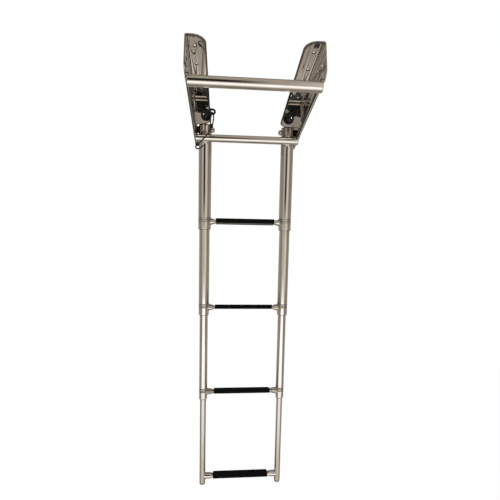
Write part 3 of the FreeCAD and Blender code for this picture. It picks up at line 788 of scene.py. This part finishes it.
def give(piece: bpy.types.Object, material: bpy.types.Material) -> bpy.types.Object:
    """Give a piece one material.

    Args:
        piece: The object.
        material: Its material.

    Returns:
        The same object.
    """
    piece.data.materials.clear()
    piece.data.materials.append(material)
    return piece


@dataclass(frozen=True)
class LadderFrame:
    """The leaning frame of the hanging ladder, with its origin at a rung's centre."""

    down: float
    ALONG = np.array([0.0, -math.sin(LEAN), math.cos(LEAN)])
    OUT = np.array([0.0, math.cos(LEAN), math.sin(LEAN)])

    @property
    def origin(self) -> np.ndarray:
        """Return the rung's centre."""
        return np.array([CENTRE_X, *PIVOT]) - self.down * self.ALONG

    def world(self, x: np.ndarray, s: np.ndarray, t: np.ndarray) -> np.ndarray:
        """Turn places in the leaning frame into the row frame.

        Args:
            x: Across the ladder.
            s: Square to the rails, outboard.
            t: Up along the rails.

        Returns:
            The points.
        """
        across = np.stack([x, np.zeros_like(x), np.zeros_like(x)], axis=-1)
        return self.origin + across + s[..., None] * self.OUT + t[..., None] * self.ALONG


class Materials:
    """The finishes as materials, made once each."""

    def __init__(self) -> None:
        """Make every slot's material."""
        self.by_slot = {slot: finish.material() for slot, finish in FINISHES.items()}
        self.weld = WELD_FINISH.material()
        caps, plate = RIBBED_CAPS.material(), CARRIAGE_FINISH.material()
        self.special = {
            "lanyard_ring": caps, "lanyard_crimps": caps,
            "left_carriage": plate, "right_carriage": plate,
        }

    def dress_frame(self) -> None:
        """Give every CAD node its slot's material."""
        for entry in frame["record"]["subparts"]:
            name, slot = entry["node"], Slot(entry["material_slot"])
            material = self.special.get(name, self.by_slot[slot])
            for holder in frame["nodes"][name].material_slots:
                holder.link = "OBJECT"
                holder.material = material


@dataclass
class SubAssembly:
    """A group of added pieces."""

    materials: Materials

    def build(self) -> None:
        """Make the group's pieces."""
        raise NotImplementedError

    def keep(
        self, piece: bpy.types.Object, body: str, slot: Slot,
        material: Union[bpy.types.Material, None] = None, replaces: Sequence[str] = (),
    ) -> bpy.types.Object:
        """Dress a piece and tie it to a body.

        Args:
            piece: The object.
            body: The body that carries it.
            slot: The record's slot that its finish comes from.
            material: A finish other than the slot's.
            replaces: The CAD nodes that it stands for.

        Returns:
            The same object.
        """
        give(piece, material or self.materials.by_slot[slot])
        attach(piece, body)
        if replaces:
            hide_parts(*replaces)
        return piece


@dataclass
class Rung(SubAssembly):
    """A rung: a tube pressed flat under its tread and coped to the rails, with its two welds."""

    number: int = 1
    round_radius: float = 0.0095
    flat_half: float = 0.0069
    flat_height: float = 0.005
    seam: float = 0.00025
    shoulder: float = 0.014
    wall: float = 0.0015
    coped_from: float = 0.1045
    coped_end: float = 0.115
    bead: float = 0.00135

    def section(
        self, x: np.ndarray, angle: np.ndarray, inset: float = 0.0
    ) -> tuple[np.ndarray, np.ndarray]:
        """Give the section's outline: two half circles with flats between, or a round one.

        Past the tread the flats shrink to nothing and the radius grows, both as 3w^2 - 2w^3.

        Args:
            x: The distance.
            angle: The angle round the section.
            inset: How far inside the outer skin.

        Returns:
            The places outboard and up.
        """
        way = np.clip((np.abs(x) - TREAD_HALF_LENGTH) / self.shoulder, 0.0, 1.0)
        way = way * way * (3.0 - 2.0 * way)
        half = self.flat_half + (self.seam - self.flat_half) * way
        radius = self.flat_height + (self.round_radius - self.flat_height) * way - inset
        side = np.where(np.cos(angle) >= 0.0, 1.0, -1.0)
        return side * half + radius * np.cos(angle), radius * np.sin(angle)

    def build(self) -> None:
        """Make the rung and its weld beads."""
        ladder = LadderFrame(RUNG_DOWN[self.number - 1])
        rail = RAIL_RADII[self.number - 1]
        half_turn = np.linspace(-math.pi / 2, math.pi / 2, 29)
        angles = np.concatenate([half_turn, half_turn + math.pi])
        angles[28] -= 1e-7
        angles[57] -= 1e-7
        marks = np.array([0.0, 0.5, 0.9, 1.0]) * TREAD_HALF_LENGTH
        turn = TREAD_HALF_LENGTH + np.linspace(0.0, self.shoulder, 15)[1:]
        half = np.concatenate([marks, turn])

        def surface(inset: float) -> Formula:
            """Give the formula of the skin or of the bore.

            Args:
                inset: How far it lies inside the skin.

            Returns:
                The formula.
            """

            def formula(station: np.ndarray, angle: np.ndarray) -> np.ndarray:
                """Sweep the section along X and cut its ends where they meet the rails.

                Args:
                    station: The distance from the rung's middle.
                    angle: The angle round the section.

                Returns:
                    The points.
                """
                y, z = self.section(station, angle, inset)
                square = y * math.cos(LEAN) + z * math.sin(LEAN)
                end = RAIL_HALF_SPACING - np.sqrt(np.maximum(rail**2 - square**2, 1e-9))
                x = np.where(np.abs(station) > self.coped_from, np.sign(station) * end, station)
                return np.stack([x, y, z], axis=-1) + ladder.origin

            return formula

        stations = np.concatenate([[-self.coped_end], -half[::-1], half[1:], [self.coped_end]])
        skin = Patch.from_formula(surface(0.0), stations, angles, loops_v=True)
        bore = Patch.from_formula(surface(self.wall), stations[::-1], angles, loops_v=True)
        name = f"rung_{self.number}"
        body = f"stage_{self.number}"
        tube = patches_object(f"{name}_pressed_tube", [skin, bore])
        self.keep(tube, body, Slot.TUBE, replaces=[name])
        for side, word in ((-1.0, "left"), (1.0, "right")):
            bead = self.weld(f"{name}_{word}_weld", ladder, rail, side)
            self.keep(bead, body, Slot.TUBE, self.materials.weld)

    def weld(self, name: str, ladder: LadderFrame, rail: float, side: float) -> bpy.types.Object:
        """Make the bead where the rung meets a rail.

        Args:
            name: The piece's name.
            ladder: The leaning frame at the rung.
            rail: The rail's radius.
            side: -1 for the left rail, 1 for the right.

        Returns:
            The bead.
        """
        def formula(turn: np.ndarray, around: np.ndarray) -> np.ndarray:
            """Bend a ring along the line where the two tubes meet; its thickness swells in waves.

            Args:
                turn: The angle round the rung.
                around: The angle round the bead.

            Returns:
                The points.
            """
            size = self.bead * (1.0 + 0.16 * np.sin(turn * 34.0 + self.number))
            reach = self.round_radius + 0.0002 + size * np.cos(around)
            s, t = reach * np.cos(turn), reach * np.sin(turn)
            depth = np.sqrt(rail**2 - (np.cos(turn) * (self.round_radius - 0.0002)) ** 2)
            x = side * (RAIL_HALF_SPACING - depth - size * 0.9 * (0.35 + np.sin(around)))
            return ladder.world(x, s, t)

        ring = Patch.from_formula(formula, full_turn(144), full_turn(10), True, True)
        return patches_object(name, [ring])


@dataclass
class CrossbarWelds(SubAssembly):
    """The weld beads in the grooves between a crossbar and the tracks."""

    name: str = "inboard"
    radius: float = 0.0127
    along: float = -0.174
    start: float = -0.0195
    length: float = 0.0096
    size: float = 0.0019
    gap: float = 0.0006
    angle: float = math.radians(32.0)

    def bead(self, start: float, sign: float) -> Patch:
        """Make one bead.

        Args:
            start: Where it begins, along the bar.
            sign: -1 for the bar's inboard side, 1 for its outboard side.

        Returns:
            The bead's surface.
        """
        y = self.along + sign * (self.radius + self.gap) * math.sin(self.angle)
        z = UNDERSIDE - self.radius + (self.radius + self.gap) * math.cos(self.angle)

        def formula(run: np.ndarray, around: np.ndarray) -> np.ndarray:
            """Run a circle along X; its radius swells in waves and closes at both ends.

            Args:
                run: The share of the bead's length.
                around: The angle round it.

            Returns:
                The points.
            """
            swell = np.sqrt(np.clip(1.0 - (2.0 * run - 1.0) ** 6, 0.0, 1.0))
            size = self.size * swell * (1.0 + 0.14 * np.sin(run * 38.0))
            return np.stack([
                start + self.length * run, y + size * np.cos(around), z + size * np.sin(around)
            ], axis=-1)

        return Patch.from_formula(
            formula, np.linspace(0.0, 1.0, 41), full_turn(12), loops_v=True
        )

    def build(self) -> None:
        """Make four beads: one on each side of the bar under each track."""
        right = 2.0 * CENTRE_X - self.start - self.length
        for side, start in (("left", self.start), ("right", right)):
            piece = patches_object(
                f"{self.name}_{side}_bar_weld", [self.bead(start, sign) for sign in (-1.0, 1.0)]
            )
            self.keep(piece, "tracks", Slot.TUBE, self.materials.weld)


@dataclass
class BallKnob(SubAssembly):
    """A moulded ball knob with a flat neck, an insert and a fine parting line."""

    side: str = "left"
    x: float = 0.0175
    y: float = 0.0855
    z: float = UNDERSIDE + 0.0475
    radius: float = 0.016
    bore: float = 0.0031
    neck: float = 0.0062

    def build(self) -> None:
        """Make the knob and its insert."""
        top = math.acos(self.neck / self.radius)
        lift = np.linspace(-math.pi / 2, top, 65)
        parting = 1.0 - 0.0025 * np.exp(-((lift / 0.018) ** 2))
        radii = np.concatenate([
            self.radius * np.cos(lift) * parting, [0.0056, 0.0050, self.bore, self.bore]
        ])
        insert = self.radius * math.sin(top) + np.array([0.0001, -0.0001, -0.0004, -0.004])
        heights = np.concatenate([self.radius * np.sin(lift), insert])
        radii[0] = 0.00002

        def formula(row: np.ndarray, turn: np.ndarray) -> np.ndarray:
            """Turn the outline about the knob's axis: an arc with a fine dip, then the bore.

            Args:
                row: The number of the outline's point.
                turn: The angle round the knob.

            Returns:
                The points.
            """
            r, h = radii[row.astype(int)], heights[row.astype(int)]
            return np.stack([
                self.x + r * np.cos(turn), self.y + r * np.sin(turn), self.z + h
            ], axis=-1)

        skin = Patch.from_formula(formula, np.arange(len(radii)), full_turn(96), loops_v=True)
        ball = patches_object(f"{self.side}_ball_knob", [skin])
        self.keep(ball, f"{self.side}_lock", Slot.KNOB, replaces=[f"{self.side}_lock_knob"])
        aside = math.copysign(1.0, self.x - CENTRE_X)
        Softbox(
            f"{self.side}_spark", (self.x + aside * 1.7, self.y - 1.4, self.z + 0.1),
            (self.x, self.y, self.z), (0.45, 0.45), 500.0,
        ).only_on(ball)


@dataclass
class Lanyard(SubAssembly):
    """The lanyard's two cords; its ring and crimps are CAD pieces."""

    diameter: float = 0.0036
    upper: tuple = (
        (5.6, 0, -1.9), (12.5, -4.8, -3.9), (19.2, -2.2, -6.2), (23.6, 0.4, -12.3),
        (25.6, 1.6, -21.5), (26.7, 2, -31.5), (28.0, 2, -39.5), (32.0, 2, -46.2),
    )
    tail: tuple = (
        (32.9, 0.2, -94.8), (32.2, -1.6, -80), (32.0, -2.9, -66.5), (34.4, -2.9, -54.2),
        (38.9, 6.9, -54.2), (40.6, 6.9, -66.5), (39.4, 5.4, -80), (36.6, 3.6, -93.5),
        (32.2, 2, -106.5), (25.6, 2, -118.8), (16.6, 2, -129.6), (10.2, 2, -136.4),
        (2.6, 2, -146.6), (-6.4, 2, -153.6), (-6.6, 2, -160.2), (0.4, 2, -163),
        (8.2, 2, -158.4), (13.4, 2, -151.6),
    )

    def spot(self, offset: Sequence[float]) -> tuple[float, ...]:
        """Return the place in the row frame of a route's point."""
        return tuple(base + part / 1000.0 for base, part in zip(HOLE, offset))

    def line(self, name: str, route: Sequence[Sequence[float]]) -> bpy.types.Object:
        """Make a cord along a route, as a smooth spline.

        Args:
            name: The piece's name.
            route: The route's points in millimetres from the lanyard's screw hole.

        Returns:
            The curve.
        """
        data = bpy.data.curves.new(name, "CURVE")
        data.dimensions = "3D"
        data.bevel_depth = self.diameter / 2.0
        data.bevel_resolution = 5
        data.resolution_u = 10
        data.use_fill_caps = True
        spline = data.splines.new("NURBS")
        spline.points.add(len(route) - 1)
        for point, offset in zip(spline.points, route):
            point.co = (*self.spot(offset), 1.0)
        spline.order_u = 3
        spline.use_endpoint_u = True
        made = bpy.data.objects.new(name, data)
        bpy.context.scene.collection.objects.link(made)
        return made

    def build(self) -> None:
        upper = self.line("lanyard_upper_cord", self.upper)
        self.keep(upper, "tracks", Slot.LANYARD, replaces=["lanyard_cord"])
        tail = self.line("lanyard_looped_tail", self.tail)
        self.keep(tail, "tracks", Slot.LANYARD, replaces=["lanyard_tail"])


@dataclass(frozen=True)
class ReflectionRoom:
    """A round room beyond the view, painted in greys, that only reflections see."""

    x: float = 0.07
    y: float = 0.2
    radius: float = 3.6
    low: float = -2.19
    high: float = 2.6
    warm: Colour = (1.10, 1.0, 0.88)

    def wall(self, sheet: ShaderSheet) -> Socket:
        """Paint the wall: bright and dark strips behind the camera, grey elsewhere.

        Args:
            sheet: The wall's sheet.

        Returns:
            The brightness.
        """
        across, along, up = sheet.axes(sheet.place())
        turn = (across - self.x).heading(self.y - along)
        upper = turn.profile(
            (-110, 0.30), (-75, 0.22), (-62, 0.24), (-44, 0.52), (-28, 0.34), (8, 0.36),
            (20, 0.62), (28, 0.75), (36, 0.66), (46, 0.45), (60, 0.23), (75, 0.22), (110, 0.30),
        )
        middle = turn.profile(
            (-110, 0.30), (-75, 0.22), (-58, 0.28), (-46, 0.42), (-28, 0.50), (-6, 0.48),
            (16, 0.66), (36, 0.74), (48, 0.54), (60, 0.26), (75, 0.22), (110, 0.30),
        )
        strip = turn.profile((-24, 0.0), (-17, 1.0), (1, 1.0), (9, 0.0))
        strip = strip * up.profile((-1.42, 0.0), (-1.12, 0.95), (1.2, 0.95), (1.6, 0.0))
        upper = upper * (1.0 - strip)
        high = up.profile((-1.55, 0.0), (-1.2, 1.0))
        front = upper * high + middle * (1.0 - high)
        far = abs(turn).ramp(120, 140) * up.ramp(0.6, 1.1)
        streaks = (up * 7.0 + 0.6).sine() * 0.12 + 0.13
        return front * (1.0 - far) + streaks * far

    def floor(self, sheet: ShaderSheet) -> Socket:
        """Paint the floor: white before the ladder, grey under, beside and beyond it.

        Args:
            sheet: The floor's sheet.

        Returns:
            The brightness.
        """
        across, along, _ = sheet.axes(sheet.place())
        depth = along.profile(
            (-3.3, 0.60), (-2.9, 0.85), (-2.4, 1.40), (-1.3, 1.30), (-0.95, 1.02), (-0.67, 0.90),
            (-0.41, 0.60), (0.39, 0.26), (1.58, 0.18), (2.5, 0.30), (3.4, 0.45),
        )
        beside = abs(across - self.x).ramp(1.35, 2.0) * (1.0 - along.ramp(0.3, 1.2))
        return depth * (1.0 - beside) + 0.24 * beside

    def ceiling(self, sheet: ShaderSheet) -> Socket:
        """Paint the ceiling: grey, with stripes beyond the ladder.

        Args:
            sheet: The ceiling's sheet.

        Returns:
            The brightness.
        """
        along = sheet.axes(sheet.place())[1]
        stripes = (along * 10.5).sine() * 0.13 * along.ramp(1.6, 2.2)
        return along.profile((-1.0, 0.35), (1.5, 0.18)) + stripes

    def side(
        self, name: str, paint: Callable[[ShaderSheet], Socket],
        formula: Formula,
    ) -> bpy.types.Object:
        """Make one side of the room.

        Args:
            name: The side's name.
            paint: The function that paints it.
            formula: Gives its points from a share, 0 to 1, and an angle.

        Returns:
            The side's object.
        """
        made = patches_object(name, [
            Patch.from_formula(formula, np.array([0.0, 1.0]), full_turn(128), loops_v=True)
        ])
        material = bpy.data.materials.new(name)
        material.cycles.emission_sampling = "NONE"
        sheet = ShaderSheet(material)
        value = paint(sheet)
        shade = sheet.mix(value.ramp(0.55, 1.0), self.warm, (1.0, 1.0, 1.0))
        sheet.finish(sheet.node("ShaderNodeEmission", {"Color": shade, "Strength": value}))
        give(made, material)
        for ray in ("camera", "diffuse", "shadow", "transmission", "volume_scatter"):
            setattr(made, f"visible_{ray}", False)
        return made

    def cone(self, near: float, far: float, bottom: float, top: float) -> Formula:
        """Give the formula of a round surface whose radius and height run evenly.

        Args:
            near: The first radius.
            far: The last radius.
            bottom: The first height.
            top: The last height.

        Returns:
            The formula.
        """

        def formula(share: np.ndarray, angle: np.ndarray) -> np.ndarray:
            """Turn a straight line about the room's axis.

            Args:
                share: The share of the line.
                angle: The angle round the axis.

            Returns:
                The points.
            """
            radius = near + (far - near) * share
            return np.stack([
                self.x + radius * np.cos(angle), self.y + radius * np.sin(angle),
                bottom + (top - bottom) * share,
            ], axis=-1)

        return formula

    def build(self) -> list[bpy.types.Object]:
        """Make the room.

        Returns:
            Its wall, floor and ceiling.
        """
        wide, tip = self.radius, 0.001 * self.radius
        return [
            self.side("room_wall", self.wall, self.cone(wide, wide, self.low, self.high)),
            self.side("room_floor", self.floor, self.cone(tip, wide, self.low, self.low)),
            self.side("room_ceiling", self.ceiling, self.cone(tip, wide, self.high, self.high)),
        ]


@dataclass(frozen=True)
class Softbox:
    """A soft studio lamp."""

    name: str
    place: tuple[float, float, float]
    aim: tuple[float, float, float]
    size: tuple[float, float]
    power: float
    colour: Colour = (1.0, 0.99, 0.97)
    glossy: bool = True

    def build(self) -> bpy.types.Object:
        """Make the lamp.

        Returns:
            The lamp's object.
        """
        lamp = bpy.data.lights.new(self.name, "AREA")
        lamp.shape = "RECTANGLE"
        lamp.size, lamp.size_y = self.size
        lamp.energy = self.power
        lamp.color = self.colour
        made = bpy.data.objects.new(self.name, lamp)
        made.location = self.place
        aim = Vector(self.aim) - Vector(self.place)
        made.rotation_mode = "QUATERNION"
        made.rotation_quaternion = aim.to_track_quat("-Z", "Y")
        made.visible_glossy = self.glossy
        bpy.context.scene.collection.objects.link(made)
        return made

    def only_on(self, *pieces: bpy.types.Object) -> bpy.types.Object:
        """Make the lamp and let it light a few pieces only.

        Args:
            *pieces: The pieces.

        Returns:
            The lamp's object.
        """
        made = self.build()
        lit = bpy.data.collections.new(f"{self.name} pieces")
        for piece in pieces:
            lit.objects.link(piece)
        made.light_linking.receiver_collection = lit
        made.light_linking.blocker_collection = lit
        return made


class Studio:
    """The floor, the white background, the lamps, the reflection room and the camera."""

    FLOOR_LEVEL = -2.2
    LAMPS = (
        Softbox("key", (-1.5, -2.0, 1.3), (0.14, 0.1, -0.5), (1.1, 1.1), 46.0, glossy=False),
        Softbox("fill", (1.9, -1.7, 0.5), (0.14, 0.1, -0.5), (1.0, 1.6), 26.0, glossy=False),
        Softbox("rim", (0.4, 2.4, 1.0), (0.14, 0.1, -0.5), (1.8, 0.9), 22.0, glossy=False),
    )
    CAMERA_PLACE = (0.0696, -0.9550, -0.6030)
    CAMERA_YAW, CAMERA_PITCH = math.radians(-4.91), math.radians(9.24)
    LENS, SENSOR, SHIFT_X = 27.504, 36.0, -0.0096

    def build(self) -> None:
        """Set up the whole studio."""
        self.world()
        stage = [self.floor(), *ReflectionRoom().build()]
        for lamp in self.LAMPS:
            lamp.build()
        self.camera()
        self.settings()

    def world(self) -> None:
        """Make a world that is soft light for the object and white for the view and reflections."""
        world = bpy.data.worlds.new("studio")
        bpy.context.scene.world = world
        sheet = ShaderSheet(world)
        white = sheet.seen()
        shade = sheet.mix(white, (0.93, 0.95, 1.0), (1.0, 1.0, 1.0))
        strength = white.ramp(0.0, 1.0, 0.55, 1.0)
        sheet.finish(
            sheet.node("ShaderNodeBackground", {"Color": shade, "Strength": strength}), world=True
        )

    def floor(self) -> bpy.types.Object:
        """Make the pale floor, which keeps a faint shadow.

        Returns:
            The floor's object.
        """
        z = self.FLOOR_LEVEL
        corners = np.array([[-9.0, -9.0, z], [9.0, -9.0, z], [9.0, 14.0, z], [-9.0, 14.0, z]])
        made = mesh_object("studio_floor", corners, [(0, 1, 2, 3)])
        material = bpy.data.materials.new("studio floor")
        sheet = ShaderSheet(material)
        paper = sheet.node("ShaderNodeBsdfDiffuse", {"Color": (0.9, 0.9, 0.9)})
        glow = sheet.node("ShaderNodeEmission", {"Color": (1.0, 1.0, 1.0), "Strength": 1.0})
        white = sheet.seen() * 0.985
        sheet.finish(sheet.node("ShaderNodeMixShader", {0: white, 1: paper, 2: glow}))
        return give(made, material)

    def camera(self) -> None:
        """Put the camera at the photograph's viewpoint."""
        lens = bpy.data.cameras.new("photo_camera")
        lens.lens, lens.sensor_width = self.LENS, self.SENSOR
        lens.shift_x, lens.shift_y = self.SHIFT_X, 0.0
        lens.clip_start, lens.clip_end = 0.02, 60.0
        made = bpy.data.objects.new("photo_camera", lens)
        pitch = Matrix.Rotation(self.CAMERA_PITCH, 3, "X")
        turn = Matrix.Rotation(self.CAMERA_YAW, 3, "Z") @ pitch
        right, ahead, up = turn.col[0], turn.col[1], turn.col[2]
        made.matrix_world = Matrix.Translation(self.CAMERA_PLACE) @ Matrix(
            (right, up, -ahead)
        ).transposed().to_4x4()
        bpy.context.scene.collection.objects.link(made)
        bpy.context.scene.camera = made

    def settings(self) -> None:
        """Choose the render settings that the looks need."""
        scene = bpy.context.scene
        scene.view_settings.view_transform = "Standard"
        scene.view_settings.look = "None"
        scene.cycles.max_bounces = 10
        scene.cycles.glossy_bounces = 6
        scene.cycles.sample_clamp_indirect = 8.0


def main() -> None:
    """Build the studio, dress the frame and add the pieces."""
    logging.basicConfig(level=logging.INFO, format="%(name)s: %(message)s")
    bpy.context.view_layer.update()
    Studio().build()
    materials = Materials()
    Lanyard(materials).build()
    for number in (1, 2, 3, 4):
        Rung(materials, number).build()
    CrossbarWelds(materials, "inboard", 0.0127, -0.174).build()
    CrossbarWelds(materials, "outboard", 0.0111, 0.109).build()
    BallKnob(materials, "left", 0.0175).build()
    BallKnob(materials, "right", 2.0 * CENTRE_X - 0.0175).build()
    materials.dress_frame()


if __name__ == "__main__":
    main()
